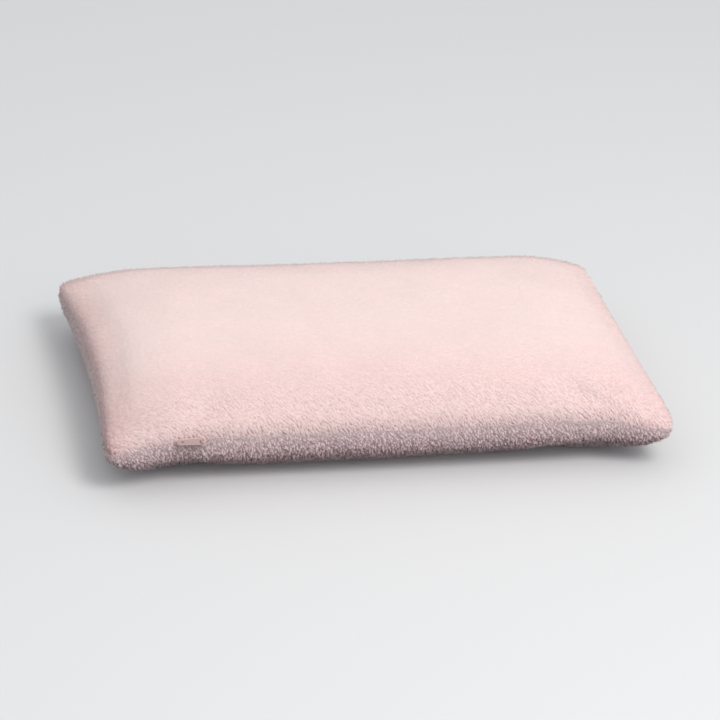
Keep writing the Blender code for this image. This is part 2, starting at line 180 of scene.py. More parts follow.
def simulate():
    """Inflates the sewn cover from a slightly flatter start. Returns how far each coarse grid point of the two panels moves."""
    us = even_steps(lambda t: skin(1, t, np.zeros_like(t), PILE), COARSE_U)
    vs = even_steps(lambda t: skin(1, np.zeros_like(t), t, PILE), COARSE_V)
    U, V = np.meshgrid(us, vs)
    grids = {side: skin(side, U, V, PILE) for side in (1, -1)}
    nv, nu = U.shape
    index = {}
    verts, faces = [], []
    rim = (np.abs(U) == 1) | (np.abs(V) == 1)
    ids = {1: np.arange(nv * nu).reshape(nv, nu)}
    verts = list(grids[1].reshape(-1, 3))
    back = np.full((nv, nu), -1)
    back[rim] = ids[1][rim]
    for j in range(nv):
        for i in range(nu):
            if back[j, i] < 0:
                back[j, i] = len(verts)
                verts.append(grids[-1][j, i])
    ids[-1] = back
    for side in (1, -1):
        g = ids[side]
        for j in range(nv - 1):
            for i in range(nu - 1):
                quad = (int(g[j, i]), int(g[j, i + 1]), int(g[j + 1, i + 1]), int(g[j + 1, i]))
                faces.append(quad if side > 0 else quad[::-1])
    start = np.array(verts)
    centre = np.array([0, 0, SEAM_Z])
    begin = centre + (start - centre) * np.array([1.0, 1.0, 0.90])
    mesh = bpy.data.meshes.new("cloth_form")
    mesh.from_pydata(begin.tolist(), [], faces)
    obj = bpy.data.objects.new("cloth_form", mesh)
    bpy.context.scene.collection.objects.link(obj)
    pin = obj.vertex_groups.new(name="zip_edge")
    held = [int(ids[1][0, i]) for i in range(nu) if abs(grids[1][0, i, 0]) < STRAIGHT_X]
    pin.add(held, 1.0, "REPLACE")
    cloth = obj.modifiers.new("Cloth", "CLOTH")
    c = cloth.settings
    c.quality, c.mass = 6, 0.25
    c.use_pressure, c.uniform_pressure_force = True, 4.0
    c.tension_stiffness = c.compression_stiffness = 18.0
    c.shear_stiffness, c.bending_stiffness = 6.0, 2.2
    c.vertex_group_mass = "zip_edge"
    c.effector_weights.gravity = 0.0
    cloth.collision_settings.use_collision = False
    cloth.point_cache.frame_start, cloth.point_cache.frame_end = 1, 20
    scene = bpy.context.scene
    scene.frame_start, scene.frame_end = 1, 20
    for f in range(1, 21):
        scene.frame_set(f)
    shot = obj.evaluated_get(bpy.context.evaluated_depsgraph_get())
    end = np.empty(len(verts) * 3)
    shot.data.vertices.foreach_get("co", end)
    end = end.reshape(-1, 3)
    moved = end - start
    bpy.data.objects.remove(obj)
    bpy.data.meshes.remove(mesh)
    scene.frame_set(1)
    scene.frame_start, scene.frame_end = 1, 1
    return us, vs, {side: moved[ids[side]] for side in (1, -1)}


def blur(a, times):
    for _ in range(times):
        p = np.pad(a, ((1, 1), (1, 1), (0, 0)), mode="edge")
        a = (p[1:-1, 1:-1] * 4 + p[:-2, 1:-1] + p[2:, 1:-1] + p[1:-1, :-2] + p[1:-1, 2:]) / 8
    return a


MOVES = None
MOVES = simulate()


def sample(us, vs, grid, u, v):
    """Bilinear lookup of a grid given on rising us and vs."""
    i = np.clip(np.searchsorted(us, u, side="right") - 1, 0, len(us) - 2)
    j = np.clip(np.searchsorted(vs, v, side="right") - 1, 0, len(vs) - 2)
    fu = ((u - us[i]) / (us[i + 1] - us[i]))[..., None]
    fv = ((v - vs[j]) / (vs[j + 1] - vs[j]))[..., None]
    return ((grid[j, i] * (1 - fu) + grid[j, i + 1] * fu) * (1 - fv)
            + (grid[j + 1, i] * (1 - fu) + grid[j + 1, i + 1] * fu) * fv)


def form(side, u, v, gap=0.0):
    """The backing after filling: the drawn form, what the simulation adds to it, and the lumps of a loose filling."""
    p = skin(side, u, v, PILE, gap)
    inside = smooth((1 - np.maximum(np.abs(u), np.abs(v))) / 0.10)
    lump = layered(p[..., 0] / 0.085 + 5, p[..., 1] / 0.075 + 2 * side, 30 + side, 3)
    p[..., 2] += side * lump * 0.0011 * inside
    if MOVES is not None:
        us, vs, moves = MOVES
        move = blur(moves[side], 3)
        reach = np.linalg.norm(move, axis=-1, keepdims=True)
        cap = 0.006
        move = move * np.minimum(1, cap / (reach + 1e-9))
        p += sample(us, vs, move, u, v) * inside[..., None] * 0.6
    if side < 0:
        p[..., 2] = np.maximum(p[..., 2], PILE * 0.9)
    top = SEAM_Z + FRONT_RISE - PILE
    p[..., 2] = np.where(p[..., 2] > top - 0.002, top - 0.002 + 0.002 * np.tanh((p[..., 2] - top + 0.002) / 0.002), p[..., 2])
    return p


# ---------------------------------------------------------------- the plush: backing, and its pile


def ruffle_and_shade(side, u, v, near_rim):
    """How open the pile is, and how much painted shade its colour carries: 0 where it lies combed smooth and evenly
    pale, 1 where it stands in separate tufts with painted shade between them, highest towards the zip-side seam and on
    the back panel. near_rim is the distance from the zip edge.
    """
    if side > 0:
        near = smooth((-v + 0.05) / 1.05) ** 1.8
        ends = 0.40 * smooth((np.abs(u) - 0.86) / 0.14) + 0.45 * smooth((v - 0.80) / 0.2)
        fold = 0.24 * (1 - smooth(near_rim / 0.015)) * np.ones_like(u)
        return np.clip(0.03 + 0.64 * np.maximum(near, ends) + fold, 0, 1)
    return np.clip(0.66 + 0.34 * smooth((-v - 0.45) / 0.4) - 0.12 * (1 - smooth(near_rim / 0.010)), 0, 1)


def turned_under(z):
    """How far the back panel has turned under at this height, out of the light."""
    return smooth((0.046 - z) / 0.026)


def dense(side, step, gap_fn=None):
    """Evenly spaced grid of one panel: parameters, points, normals, and distances along the surface."""
    def row(t):
        return skin(side, t, np.zeros_like(t), PILE)

    def column(t):
        return skin(side, np.zeros_like(t), t, PILE)

    def run(curve):
        t = np.linspace(-1, 1, 4001)
        return np.linalg.norm(np.diff(curve(t), axis=0), axis=1).sum()

    us = even_steps(row, int(round(run(row) / step)))
    vs = even_steps(column, int(round(run(column) / step)))
    U, V = np.meshgrid(us, vs)
    P = form(side, U, V)
    N = normals_of(P, side)
    zero = np.zeros((len(vs), 1)), np.zeros((1, len(us)))
    S = np.concatenate([zero[0], np.cumsum(np.linalg.norm(np.diff(P, axis=1), axis=-1), axis=1)], 1)
    T = np.concatenate([zero[1], np.cumsum(np.linalg.norm(np.diff(P, axis=0), axis=-1), axis=0)], 0)
    rims = np.stack([S, S[:, -1:] - S, T, T[-1:] - T], -1)      # left, right, near, far
    S = S - S[:, [S.shape[1] // 2]]
    T = T - T[[T.shape[0] // 2], :]
    return us, vs, U, V, P, N, S, T, rims


def put(name, mesh, finish, body="pillow"):
    obj = bpy.data.objects.new(name, mesh)
    bpy.context.scene.collection.objects.link(obj)
    mesh.materials.clear()
    mesh.materials.append(finish)
    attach(obj, body)
    return obj


def mesh_from(name, co, quads=None, tris=None, shade=True):
    mesh = bpy.data.meshes.new(name)
    nq = 0 if quads is None else len(quads)
    nt = 0 if tris is None else len(tris)
    mesh.vertices.add(len(co))
    mesh.vertices.foreach_set("co", np.asarray(co, np.float32).ravel())
    loops = np.concatenate([x.ravel() for x in (quads, tris) if x is not None and len(x)])
    mesh.loops.add(len(loops))
    mesh.loops.foreach_set("vertex_index", loops.astype(np.int32))
    mesh.polygons.add(nq + nt)
    start = np.concatenate([np.arange(nq) * 4, nq * 4 + np.arange(nt) * 3]).astype(np.int32)
    mesh.polygons.foreach_set("loop_start", start)
    mesh.update(calc_edges=True)
    mesh.validate()
    if shade:
        mesh.shade_smooth()
    return mesh


def grid_quads(nv, nu, flip):
    i = np.arange(nv * nu).reshape(nv, nu)
    q = np.stack([i[:-1, :-1], i[:-1, 1:], i[1:, 1:], i[1:, :-1]], -1).reshape(-1, 4)
    return q[:, ::-1].copy() if flip else q


def unfold(mesh, uv):
    """A flat layout of the panel, so that its colours can be read as one sheet."""
    layer = mesh.uv_layers.new(name="OFBake")
    idx = np.empty(len(mesh.loops), np.int32)
    mesh.loops.foreach_get("vertex_index", idx)
    layer.data.foreach_set("uv", np.asarray(uv, np.float32)[idx].ravel())


def float_layer(mesh, name, values):
    att = mesh.attributes.new(name, "FLOAT", "POINT")
    att.data.foreach_set("value", np.asarray(values, np.float32))


def backing(side, finish, name, node, step=0.0014):
    us, vs, U, V, P, N, S, T, rims = dense(side, step)
    dp, dq, d, r1, r2 = tufts(S, T, side)
    height = (1 - np.clip(d / 0.8, 0, 1) ** 2) * (0.0004 + 0.0004 * r1)
    height *= smooth(rims.min(-1) / 0.002)
    P = P + N * height[..., None]
    P[..., 2] = np.maximum(P[..., 2], 0.0009)
    nv, nu = U.shape
    # the rim turns in as the seam allowance
    co = P.reshape(-1, 3)
    quads = grid_quads(nv, nu, side < 0)
    rimloop = np.concatenate([np.arange(nu), np.arange(1, nv) * nu + nu - 1,
                              (nv - 1) * nu + np.arange(nu - 2, -1, -1), np.arange(nv - 2, 0, -1) * nu])
    uu, vv = U.ravel()[rimloop], V.ravel()[rimloop]
    rings = []
    count = len(co)
    for depth, drop in ((0.0016, 0.0004), (0.009, 0.0004)):
        x, y = plan(uu, vv, PILE + depth)
        along = 1 - smooth((np.abs(x) - STRAIGHT_X) / 0.012)
        lip = np.where(vv < -0.98, along, 0)
        xx, yy = plan(uu, vv, PILE + np.where(lip > 0.01, np.minimum(depth, 0.0030), depth))
        z = seam_height(xx, vv) + side * (0.00035 + 0.0006 * lip + drop * 0.2)
        rings.append(np.stack([xx, yy, z], -1))
    pts = [co] + rings
    prev = rimloop
    n = len(rimloop)
    strips = []
    for k in range(len(rings)):
        cur = count + k * n + np.arange(n)
        a, b = prev, np.roll(prev, -1)
        c, e = cur, np.roll(cur, -1)
        strip = np.stack([b, a, c, e], -1) if side > 0 else np.stack([a, b, e, c], -1)
        strips.append(strip)
        prev = cur
    co = np.concatenate(pts)
    quads = np.concatenate([quads] + strips)
    mesh = mesh_from(name, co, quads)
    uv = np.stack([U, V], -1).reshape(-1, 2) * 0.49 + 0.5
    ring_uv = np.stack([uu, vv], -1) * 0.495 + 0.5
    unfold(mesh, np.concatenate([uv] + [ring_uv] * len(rings)))
    # painted shade in the backing's colour: darker between the tufts where the pile is open, darker still where the
    # back panel turns under towards the floor, and the turned-in seam allowance gets the darkest root colour as the
    # shade in the seam
    rough = ruffle_and_shade(side, U, V, rims[..., 2])
    backing_shade = rough * (0.74 + 0.26 * turned_under(P[..., 2])) if side < 0 else rough
    tip = np.concatenate([(1 - backing_shade * (1 - 0.25 * np.clip(height / 0.0008, 0, 1))).ravel(), np.zeros(n * len(rings))])
    float_layer(mesh, "tip", tip)
    obj = put(name, mesh, finish)
    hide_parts(node)
    return obj


def pile(side, count, finish, name, seed, length=0.0034, width=0.00040):
    """Tapered fibres, gathered in tufts and combed along the nap."""
    rng = np.random.default_rng(seed)
    us, vs, U, V, P, N, S, T, rims = dense(side, 0.0028)
    du, dv = np.gradient(P, axis=1), np.gradient(P, axis=0)
    cell = np.linalg.norm(np.cross(P[:-1, 1:] - P[:-1, :-1], P[1:, :-1] - P[:-1, :-1]), axis=-1)
    if side < 0:                       # what lies on the floor is pressed flat and needs less
        under = (P[:-1, :-1, 2] < PILE + 0.0012)
        cell = np.where(under, cell * 0.22, cell)
    open_here = ruffle_and_shade(side, U, V, rims[..., 2])[:-1, :-1]      # more fibres where the pile is seen strand by strand
    cell = cell * (0.55 + 0.85 * open_here)
    flat = np.cumsum(cell.ravel())
    pick = (np.arange(count) + rng.random(count)) / count * flat[-1]
    c = np.clip(np.searchsorted(flat, pick), 0, cell.size - 1)
    j, i = np.divmod(c, cell.shape[1])
    fi, fj = rng.random(count), rng.random(count)

    def at(g):
        w = lambda a: a[:, None] if g.ndim == 3 else a
        return ((g[j, i] * w(1 - fi) + g[j, i + 1] * w(fi)) * w(1 - fj)
                + (g[j + 1, i] * w(1 - fi) + g[j + 1, i + 1] * w(fi)) * w(fj))

    root, n, s, t = at(P), at(N), at(S), at(T)
    near_zip = smooth(1 - at(rims)[:, 2] / 0.006)
    u, v = at(U), at(V)
    n /= np.linalg.norm(n, axis=1, keepdims=True)
    eu = at(du)
    eu -= n * (eu * n).sum(1, keepdims=True)
    eu /= np.linalg.norm(eu, axis=1, keepdims=True)
    ev = np.cross(n, eu) * side
    dp, dq, d, r1, r2 = tufts(s, t, side)
    wander = layered(s / 0.06, t / 0.05, 70 + side, 3) * 0.38
    rough = ruffle_and_shade(side, u, v, at(rims)[:, 2])
    angle = NAP[side] + wander + (r2 - 0.5) * (0.7 if side > 0 else 2.6) * (0.35 + 0.65 * rough) + rng.normal(0, 0.18 if side > 0 else 0.34, count)
    nap = eu * np.cos(angle)[:, None] + ev * np.sin(angle)[:, None]
    ca, sa = math.cos(NAP[side]), math.sin(NAP[side])
    along, across = eu * ca + ev * sa, -eu * sa + ev * ca
    pull = 0.25 if side > 0 else 0.65
    gather = (along * dp[:, None] * pull + across * dq[:, None] * 0.8) * (0.15 + 0.85 * rough)[:, None]

    # towards the seam the pile is shorter and parts away from it
    edges = smooth(1 - at(rims) / 0.0028)
    seam_near = edges.max(1)
    away = eu * (edges[:, 0] - edges[:, 1])[:, None] + ev * (edges[:, 2] - edges[:, 3])[:, None]
    zip_near = edges[:, 2] * (1 - smooth((np.abs(root[:, 0]) - 0.192) / 0.01))

    part = 0.35 + 1.3 * value_noise(s / 0.006, t / 0.006, 91)

    size = length * (1.0 if side > 0 else 0.70) * (0.72 + 0.45 * rng.random(count)) * (1 + 0.36 * (r1 - 0.5) * rough)
    size *= 1 - 0.30 * seam_near - 0.1 * zip_near
    loose = 0.26 if side > 0 else 0.40
    lean = np.clip(0.80 - loose * rough + 0.2 * (r1 - 0.5) * (0.4 + 0.6 * rough) + rng.normal(0, 0.07 if side > 0 else 0.12, count), 0.15, 0.9)
    first = n * (1.05 - lean)[:, None] + nap * lean[:, None] * 0.75 + away * 0.36 * (part * seam_near)[:, None]
    first /= np.linalg.norm(first, axis=1, keepdims=True)
    second = n * (0.62 - lean * 0.55)[:, None] + nap * lean[:, None] + away * 0.30 * (part * seam_near)[:, None]
    second /= np.linalg.norm(second, axis=1, keepdims=True)
    # the tufts stand proud of one another, which shows along the outline
    proud = np.maximum(smooth((v - 0.70) / 0.25), smooth((np.abs(u) - 0.90) / 0.08)) if side > 0 else 0.0
    lift = (0.0002 + (0.0011 + 0.0010 * proud) * r1 ** 2) * (1 - np.clip(d / 0.75, 0, 1) ** 2) * (1 - 0.8 * near_zip)
    base = root + n * (lift - 0.0003)[:, None]
    mid = base + first * (size * 0.5)[:, None] + gather * 0.45
    tip = mid + second * (size * 0.5)[:, None] + gather * 0.45
    turn = rng.normal(0, 1, count) * (0.15 + (0.35 if side > 0 else 0.95) * rough)
    axis = np.cross(first, n)
    axis /= np.linalg.norm(axis, axis=1, keepdims=True) + 1e-9
    wide = axis * np.cos(turn)[:, None] + np.cross(first, axis) * np.sin(turn)[:, None]
    half = (width / 2 * (0.7 + 0.6 * rng.random(count)))[:, None]
    co = np.stack([base - wide * half, base + wide * half, mid + wide * half * 0.85, mid - wide * half * 0.85, tip], 1)
    floor = 0.0002
    low = co[..., 2] < floor
    co[..., 2] = np.where(low, floor + (co[..., 2] - floor) * 0.02, co[..., 2]).clip(0.0001, None)
    k = np.arange(count)[:, None] * 5
    quads = k + np.array([[0, 1, 2, 3]])
    tris = k + np.array([[3, 2, 4]])
    mesh = mesh_from(name, co.reshape(-1, 3), quads, tris)
    across_fibre = n - first * (n * first).sum(1, keepdims=True)
    across_fibre /= np.linalg.norm(across_fibre, axis=1, keepdims=True) + 1e-9
    # each tuft is shaded as one small mound, and its tips stand out into the light from above
    mound = -(along * (dp / TUFT_SIZE[side][0])[:, None] * 0.9 + across * (dq / TUFT_SIZE[side][1])[:, None] * 1.5) * (rough * (1.0 if side < 0 else 0.6))[:, None]
    body = n + across_fibre * 0.35 + wide * rng.normal(0, 0.12, count)[:, None] + mound
    if side > 0:
        body = body + np.array([0, 0, 1.0]) * (0.95 * smooth((v - 0.25) / 0.6) + 0.60 * smooth((np.abs(u) - 0.76) / 0.2) * smooth((v + 0.5) / 0.7))[:, None]
    risen = body + np.array([0, 0, 1.0]) * (rough * (0.55 + 0.9 * (1 - turned_under(root[:, 2])) if side < 0 else rough * 0.15))[:, None]
    shade = np.stack([body, body, body * 0.5 + risen * 0.5, body * 0.5 + risen * 0.5, risen], 1)
    shade /= np.linalg.norm(shade, axis=2, keepdims=True)
    mesh.normals_split_custom_set_from_vertices(shade.reshape(-1, 3).astype(np.float32))
    cells = int(math.ceil(math.sqrt(count)))
    cy, cx = np.divmod(np.arange(count), cells)
    corner = np.array([[0.04, 0.04], [0.96, 0.04], [0.96, 0.58], [0.04, 0.58], [0.5, 0.97]])
    uv = ((np.stack([cx, cy], -1)[:, None, :] + corner) / cells).reshape(-1, 2)
    unfold(mesh, uv)
    # painted shade in the fibres' colour, since they cast no shadows of their own: roots and the rims of tufts darker
    # than the tips, more so where the pile is open and towards the zip seam; lot adds a random tone per fibre
    outer = np.clip(d / 0.55, 0, 1)
    lot = rng.random(count)
    low_tone, mid_tone, top_tone = np.ones((3, count))
    if side > 0:
        fibre_shade = 0.24 * rough
        low_tone -= fibre_shade * (0.80 + 0.20 * outer)
        mid_tone -= fibre_shade * (0.22 + 0.44 * outer + 0.10 * lot)
        top_tone -= fibre_shade * (0.26 * outer + 0.10 * lot)
    else:
        # on the back panel the painted shade grows where it turns under towards the floor and is strongest on the zip
        # side; shade_under darkens whole fibres there
        under = turned_under(root[:, 2])
        zip_side = smooth((-v - 0.40) / 0.5)
        fibre_shade = (0.43 + (0.24 + 0.10 * zip_side) * under) * rough
        shade_under = (0.10 + 0.14 * zip_side) * under ** 1.6 * rough
        low_tone -= fibre_shade * (0.80 + 0.20 * outer)
        mid_tone -= fibre_shade * (0.04 + 0.80 * outer ** 2 + 0.10 * lot) + shade_under
        top_tone -= fibre_shade * (0.52 * outer ** 2 + 0.16 * lot) + shade_under * 0.8
    tones = np.stack([low_tone, low_tone, mid_tone, mid_tone, top_tone], 1).ravel()
    float_layer(mesh, "tip", np.clip(tones, 0, 1))
    obj = put(name, mesh, finish)
    # the fibres throw no shadows; their shade is painted into their colour above
    obj.visible_shadow = False
    return obj


# ---------------------------------------------------------------- materials
def node(nt, kind, x=0, y=0, **values):
    made = nt.nodes.new(kind)
    made.location = (x, y)
    for key, value in values.items():
        if hasattr(made, key):
            setattr(made, key, value)
        else:
            made.inputs[key].default_value = value
    return made


def plush(name, tip_colour, root_shade_colour, gain=1.0):
    mat = bpy.data.materials.new(name)
    mat.use_nodes = True
    nt = mat.node_tree
    bsdf = nt.nodes["Principled BSDF"]
    at = nt.nodes.new("ShaderNodeAttribute")
    at.attribute_name = "tip"
    # the tone attribute "tip" runs from the root colour, a painted shade for the dark between fibres and tufts, to the
    # pale tip colour
    ramp = nt.nodes.new("ShaderNodeValToRGB")
    ramp.color_ramp.elements[0].color = (*root_shade_colour, 1)
    ramp.color_ramp.elements[1].color = (*tip_colour, 1)
    middle = ramp.color_ramp.elements.new(0.55)
    middle.color = (*[r * 0.30 + t * 0.70 for r, t in zip(root_shade_colour, tip_colour)], 1)
    nt.links.new(at.outputs["Fac"], ramp.inputs["Fac"])
    geo = nt.nodes.new("ShaderNodeNewGeometry")
    cloud = nt.nodes.new("ShaderNodeTexNoise")
    cloud.inputs["Scale"].default_value = 26.0
    cloud.inputs["Detail"].default_value = 4.0
    fine = nt.nodes.new("ShaderNodeTexNoise")
    fine.inputs["Scale"].default_value = 420.0
    fine.inputs["Detail"].default_value = 2.0
    coord = nt.nodes.new("ShaderNodeTexCoord")
    nt.links.new(coord.outputs["Object"], cloud.inputs["Vector"])
    nt.links.new(coord.outputs["Object"], fine.inputs["Vector"])
    add = nt.nodes.new("ShaderNodeMath")
    add.operation = "MULTIPLY_ADD"
    nt.links.new(cloud.outputs["Fac"], add.inputs[0])
    add.inputs[1].default_value = 0.07
    add.inputs[2].default_value = 0.92
    add2 = nt.nodes.new("ShaderNodeMath")
    add2.operation = "MULTIPLY_ADD"
    nt.links.new(fine.outputs["Fac"], add2.inputs[0])
    add2.inputs[1].default_value = 0.10
    nt.links.new(add.outputs[0], add2.inputs[2])
    scale = nt.nodes.new("ShaderNodeMixRGB")
    scale.blend_type = "MULTIPLY"
    scale.inputs["Fac"].default_value = 1.0
    nt.links.new(ramp.outputs["Color"], scale.inputs["Color1"])
    nt.links.new(add2.outputs[0], scale.inputs["Color2"])
    nt.links.new(scale.outputs["Color"], bsdf.inputs["Base Color"])
    bsdf.inputs["Roughness"].default_value = 0.95
    bsdf.inputs["Specular IOR Level"].default_value = 0.15
    bsdf.inputs["Sheen Weight"].default_value = 0.35
    bsdf.inputs["Sheen Roughness"].default_value = 0.45
    bsdf.inputs["Sheen Tint"].default_value = (1.0, 0.92, 0.90, 1)
    # a fibre seen from its far side glows with the light that falls on its near side
    through = nt.nodes.new("ShaderNodeBsdfTranslucent")
    nt.links.new(scale.outputs["Color"], through.inputs["Color"])
    both = nt.nodes.new("ShaderNodeMixShader")
    nt.links.new(geo.outputs["Backfacing"], both.inputs["Fac"])
    nt.links.new(bsdf.outputs["BSDF"], both.inputs[1])
    nt.links.new(through.outputs["BSDF"], both.inputs[2])
    nt.links.new(both.outputs["Shader"], nt.nodes["Material Output"].inputs["Surface"])
    return mat


# PLUSH_ROOT_SHADE is a painted shade colour: the dark mauve that stands for the shadow between fibres and tufts
PLUSH_TIP, PLUSH_ROOT_SHADE = (0.855, 0.724, 0.703), (0.40, 0.16, 0.20)
plush_front = plush("pink_plush_front", PLUSH_TIP, PLUSH_ROOT_SHADE)
# the back panel's copy of the plush has a darker, cooler root colour: painted shade for the underside and the strip
# below the seam
plush_back = plush("pink_plush_back", (0.855, 0.727, 0.720), (0.26, 0.135, 0.175))

def linked(nt, *chain):
    for a, b in chain:
        nt.links.new(a, b)


def base_material(name, roughness, metallic=0.0, sheen=0.0):
    mat = bpy.data.materials.new(name)
    mat.use_nodes = True
    nt = mat.node_tree
    b = nt.nodes["Principled BSDF"]
    b.inputs["Roughness"].default_value = roughness
    b.inputs["Metallic"].default_value = metallic
    b.inputs["Sheen Weight"].default_value = sheen
    coord = nt.nodes.new("ShaderNodeTexCoord")
    return mat, nt, b, coord.outputs["Object"]


def noise_tex(nt, where, scale, detail=3.0):
    n = nt.nodes.new("ShaderNodeTexNoise")
    n.inputs["Scale"].default_value = scale
    n.inputs["Detail"].default_value = detail
    nt.links.new(where, n.inputs["Vector"])
    return n.outputs["Fac"]


def wave_tex(nt, where, direction, period, distortion=0.0):
    w = nt.nodes.new("ShaderNodeTexWave")
    w.bands_direction = direction
    w.inputs["Scale"].default_value = 0.314159 / period
    w.inputs["Distortion"].default_value = distortion
    nt.links.new(where, w.inputs["Vector"])
    return w.outputs["Fac"]


def ramp_of(nt, fac, low, high, a=0.0, b=1.0):
    ramp = nt.nodes.new("ShaderNodeValToRGB")
    ramp.color_ramp.elements[0].position, ramp.color_ramp.elements[0].color = a, (*low, 1)
    ramp.color_ramp.elements[1].position, ramp.color_ramp.elements[1].color = b, (*high, 1)
    nt.links.new(fac, ramp.inputs["Fac"])
    return ramp.outputs["Color"]


def maths(nt, kind, a, b):
    m = nt.nodes.new("ShaderNodeMath")
    m.operation = kind
    for k, x in enumerate((a, b)):
        if isinstance(x, (int, float)):
            m.inputs[k].default_value = x
        else:
            nt.links.new(x, m.inputs[k])
    return m.outputs[0]


def bump(nt, b, height, distance, strength=0.6):
    k = nt.nodes.new("ShaderNodeBump")
    k.inputs["Distance"].default_value = distance
    k.inputs["Strength"].default_value = strength
    nt.links.new(height, k.inputs["Height"])
    nt.links.new(k.outputs["Normal"], b.inputs["Normal"])


def woven(name, low, high, period, roughness=0.85, sheen=0.2, depth=0.00012, axes=("X", "Y")):
    """Two sets of yarns crossing, with a little unevenness."""
    mat, nt, b, where = base_material(name, roughness, sheen=sheen)
    one = wave_tex(nt, where, axes[0], period, 0.6)
    two = wave_tex(nt, where, axes[1], period * 1.1, 0.6)
    weave = maths(nt, "MULTIPLY", one, two)
    height = maths(nt, "ADD", weave, maths(nt, "MULTIPLY", noise_tex(nt, where, 900.0), 0.5))
    nt.links.new(ramp_of(nt, height, low, high, 0.1, 1.1), b.inputs["Base Color"])
    bump(nt, b, height, depth)
    return mat


def yarn(name, low, high, period=0.0009):
    """A twisted thread: slanting plies."""
    mat, nt, b, where = base_material(name, 0.75, sheen=0.15)
    ply = wave_tex(nt, where, "DIAGONAL", period, 1.0)
    height = maths(nt, "ADD", ply, maths(nt, "MULTIPLY", noise_tex(nt, where, 1800.0), 0.4))
    nt.links.new(ramp_of(nt, height, low, high, 0.1, 1.2), b.inputs["Base Color"])
    bump(nt, b, height, 0.00008)
    return mat


def enamel(name, colour):
    """Satin paint over a casting: a slight mottle and orange peel."""
    mat, nt, b, where = base_material(name, 0.38)
    soft = noise_tex(nt, where, 240.0, 4.0)
    dark = tuple(c * 0.94 for c in colour)
    nt.links.new(ramp_of(nt, soft, dark, colour, 0.3, 0.7), b.inputs["Base Color"])
    rough = maths(nt, "ADD", maths(nt, "MULTIPLY", noise_tex(nt, where, 700.0, 5.0), 0.16), 0.30)
    nt.links.new(rough, b.inputs["Roughness"])
    b.inputs["Coat Weight"].default_value = 0.35
    b.inputs["Coat Roughness"].default_value = 0.18
    bump(nt, b, noise_tex(nt, where, 2600.0, 2.0), 0.00002, 0.4)
    return mat


def brushed(name, colour):
    mat, nt, b, where = base_material(name, 0.32, metallic=1.0)
    lines = noise_tex(nt, where, 3000.0, 6.0)
    nt.links.new(ramp_of(nt, lines, tuple(c * 0.86 for c in colour), colour, 0.3, 0.7), b.inputs["Base Color"])
    nt.links.new(maths(nt, "ADD", maths(nt, "MULTIPLY", lines, 0.2), 0.22), b.inputs["Roughness"])
    return mat


def nylon(name, low, high):
    mat, nt, b, where = base_material(name, 0.4)
    turns = wave_tex(nt, where, "X", 0.0012, 0.0)
    nt.links.new(ramp_of(nt, turns, low, high, 0.2, 0.9), b.inputs["Base Color"])
    bump(nt, b, turns, 0.0003, 0.8)
    b.inputs["Specular IOR Level"].default_value = 0.5
    return mat


def felted(name, low, high, scale, depth, roughness=0.95, sheen=0.4):
    mat, nt, b, where = base_material(name, roughness, sheen=sheen)
    hair = noise_tex(nt, where, scale, 8.0)
    nt.links.new(ramp_of(nt, hair, low, high, 0.3, 0.7), b.inputs["Base Color"])
    bump(nt, b, hair, depth)
    return mat


FINISHES = {
    "cover_seam_thread": yarn("cover_thread", (0.52, 0.36, 0.35), (0.80, 0.58, 0.56)),
    "zip_stitching_front": yarn("zip_thread", (0.52, 0.36, 0.35), (0.80, 0.58, 0.56)),
    "zip_stitching_back": "zip_stitching_front",
    "zip_tape_front": woven("zip_tape", (0.50, 0.33, 0.32), (0.78, 0.56, 0.54), 0.0007, sheen=0.1),
    "zip_tape_back": "zip_tape_front",
    "zip_coil_front": nylon("zip_coil", (0.52, 0.35, 0.34), (0.82, 0.60, 0.58)),
    "zip_coil_back": "zip_coil_front",
    "zip_top_stop_front": brushed("stop_metal", (0.72, 0.72, 0.73)),
    "zip_top_stop_back": "zip_top_stop_front",
    "zip_bottom_stop": "zip_top_stop_front",
    "zip_slider_body": enamel("painted_zinc", (0.80, 0.58, 0.56)),
    "zip_pull_tab": "zip_slider_body",
    "liner_front_panel": woven("liner_cloth", (0.66, 0.66, 0.64), (0.88, 0.88, 0.86), 0.0008, sheen=0.15),
    "liner_back_panel": "liner_front_panel",
    "liner_seam_thread": yarn("white_thread", (0.70, 0.70, 0.68), (0.90, 0.90, 0.88)),
    "liner_closing_stitch": "liner_seam_thread",
    "fibre_fill": felted("fibre", (0.80, 0.80, 0.79), (0.95, 0.95, 0.94), 260.0, 0.0006),
    "care_label": woven("label_satin", (0.78, 0.78, 0.77), (0.92, 0.92, 0.91), 0.0004, roughness=0.35, sheen=0.0, depth=0.00003),
}
for key, value in FINISHES.items():
    finish = FINISHES[value] if isinstance(value, str) else value
    NODES[key].data.materials.clear()
    NODES[key].data.materials.append(finish)

# the cloth inside is slightly rumpled and the filling lumpy
for key, level, size, depth, mid in (("liner_front_panel", 2, 0.030, 0.0008, 0.5), ("liner_back_panel", 2, 0.030, 0.0008, 0.5),
                                     ("fibre_fill", 2, 0.022, 0.0022, 1.0)):
    finer = NODES[key].modifiers.new("finer", "SUBSURF")
    finer.subdivision_type, finer.levels, finer.render_levels = "SIMPLE", level, level
    lumps = bpy.data.textures.new(key + "_lumps", "CLOUDS")
    lumps.noise_scale, lumps.noise_depth = size, 3
    push = NODES[key].modifiers.new("lumps", "DISPLACE")
    push.texture, push.texture_coords = lumps, "LOCAL"
    push.direction = "NORMAL" if key == "fibre_fill" else "Z"
    push.strength, push.mid_level = depth, mid

